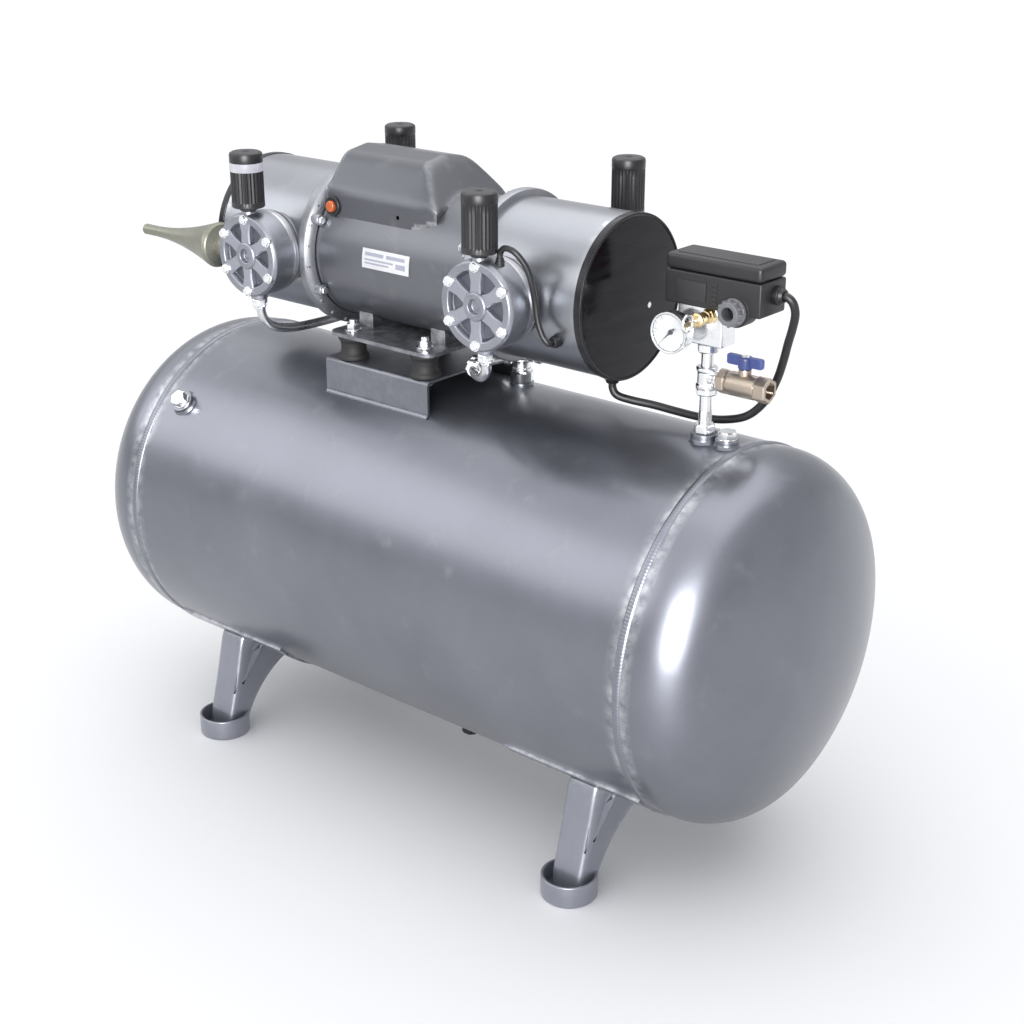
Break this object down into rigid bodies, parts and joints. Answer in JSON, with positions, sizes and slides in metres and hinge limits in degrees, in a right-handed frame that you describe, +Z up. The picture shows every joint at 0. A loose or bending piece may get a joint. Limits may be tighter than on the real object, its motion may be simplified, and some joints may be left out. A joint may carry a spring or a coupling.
{
  "type": "air compressor",
  "caption": "Oil-free piston air compressor: a double-ended motor drives opposed cylinders on a horizontal receiver tank with legs, pressure switch, gauge, relief valve and outlet valve.",
  "frame": {"origin": "on the floor, under the middle of the tank", "axes": "+X along the tank towards the pressure switch, -Y to the front where the gauge faces, +Z up"},
  "size_m": [0.91, 0.384, 0.69],
  "materials": {
    "tank_paint": "satin metallic paint",
    "motor_paint": "satin metallic paint",
    "cast_aluminium": "satin",
    "black_cover": "gloss",
    "black_plastic": "satin",
    "rubber": "matte",
    "steel": "satin",
    "copper": "varnished wire",
    "nickel": "bright nickel",
    "brass": "satin",
    "bronze": "satin",
    "olive_metal": "dull",
    "pipe_metal": "satin",
    "gauge_metal": "bright",
    "gauge_black": "satin",
    "lens": "clear",
    "white_label": "satin",
    "orange_button": "gloss",
    "red_lever": "gloss",
    "blue_handle": "satin"
  },
  "bodies": {
    "frame": {"tank_shell": "tank_paint", "tank_end_left": "tank_paint", "tank_end_right": "tank_paint", "weld_seams": "tank_paint", "pads_and_sockets": "tank_paint", "leg_front_left": "tank_paint", "leg_front_right": "tank_paint", "leg_rear_left": "tank_paint", "leg_rear_right": "tank_paint", "pump_saddle": "tank_paint", "motor_shell": "motor_paint", "capacitor_hood": "motor_paint", "motor_base": "motor_paint", "end_shield_left": "cast_aluminium", "end_shield_right": "cast_aluminium", "crank_housing_left": "cast_aluminium", "crank_housing_right": "cast_aluminium", "cylinder_heads": "cast_aluminium", "cylinder_barrels": "cast_aluminium", "end_cover_left": "black_cover", "end_cover_right": "black_cover", "intake_filters": "black_plastic", "switch_base": "black_plastic", "switch_cover": "black_plastic", "cable_glands": "black_plastic", "reset_bezel": "black_plastic", "capacitors": "black_plastic", "rubber_mounts": "rubber", "motor_cable": "rubber", "breather_hose": "rubber", "shaft_bearings": "steel", "stator_core": "steel", "valve_plates": "steel", "stator_windings": "copper", "riser_and_manifold": "nickel", "check_valve": "nickel", "socket_plugs": "nickel", "fasteners": "nickel", "safety_valve_body": "brass", "drain_valve_body": "brass", "outlet_valve_body": "bronze", "hose_adaptor": "olive_metal", "discharge_pipes": "pipe_metal", "gauge_case": "gauge_metal", "gauge_lens": "lens", "rating_plate": "white_label"},
    "rotor": {"rotor_core": "steel", "drive_shaft": "steel", "cooling_fans": "black_plastic", "eccentrics": "steel"},
    "rods_right": {"connecting_rods_right": "cast_aluminium"},
    "rods_left": {"connecting_rods_left": "cast_aluminium"},
    "pistons_right": {"pistons_right": "cast_aluminium"},
    "pistons_left": {"pistons_left": "cast_aluminium"},
    "needle": {"gauge_needle": "gauge_black"},
    "switch_lever": {"switch_lever": "red_lever"},
    "valve_handle": {"outlet_valve_handle": "blue_handle"},
    "safety_ring": {"safety_valve_ring": "nickel"},
    "drain_knob": {"drain_valve_knob": "black_plastic"},
    "reset_button": {"reset_button": "orange_button"}
  },
  "joints": [
    {"name": "shaft_spin", "type": "hinge", "parent": "frame", "child": "rotor", "pos_m": [-0.0415, 0, 0.58], "axis": [1, 0, 0], "continuous": true},
    {"name": "rods_right_orbit", "type": "hinge", "parent": "rotor", "child": "rods_right", "pos_m": [0.12, 0, 0.587], "axis": [1, 0, 0], "continuous": true},
    {"name": "rods_left_orbit", "type": "hinge", "parent": "rotor", "child": "rods_left", "pos_m": [-0.203, 0, 0.573], "axis": [1, 0, 0], "continuous": true},
    {"name": "pistons_right_stroke", "type": "slide", "parent": "frame", "child": "pistons_right", "axis": [0, 1, 0], "range_m": [-0.007, 0.007]},
    {"name": "pistons_left_stroke", "type": "slide", "parent": "frame", "child": "pistons_left", "axis": [0, 1, 0], "range_m": [-0.007, 0.007]},
    {"name": "gauge_needle_turn", "type": "hinge", "parent": "frame", "child": "needle", "pos_m": [0.284, -0.036, 0.566], "axis": [0, 1, 0], "range_deg": [0, 270], "stiffness_Nm_per_rad": 0.002},
    {"name": "switch_lever_turn", "type": "hinge", "parent": "frame", "child": "switch_lever", "pos_m": [0.262, 0, 0.611], "axis": [1, 0, 0], "range_deg": [0, 60]},
    {"name": "outlet_valve_turn", "type": "hinge", "parent": "frame", "child": "valve_handle", "pos_m": [0.345, 0, 0.518], "axis": [0, 0, 1], "range_deg": [0, 90]},
    {"name": "safety_ring_pull", "type": "slide", "parent": "frame", "child": "safety_ring", "axis": [0, -1, 0], "range_m": [0, 0.004], "stiffness_N_per_m": 400},
    {"name": "drain_knob_turn", "type": "hinge", "parent": "frame", "child": "drain_knob", "pos_m": [0, 0, 0.05], "axis": [0, 0, 1], "range_deg": [0, 270]},
    {"name": "reset_button_press", "type": "slide", "parent": "frame", "child": "reset_button", "axis": [0, 1, 0], "range_m": [0, 0.0015], "stiffness_N_per_m": 400}
  ],
  "couplings": [
    {"joint": "rods_right_orbit", "follows": "shaft_spin", "ratio": -1},
    {"joint": "rods_left_orbit", "follows": "shaft_spin", "ratio": -1}
  ]
}
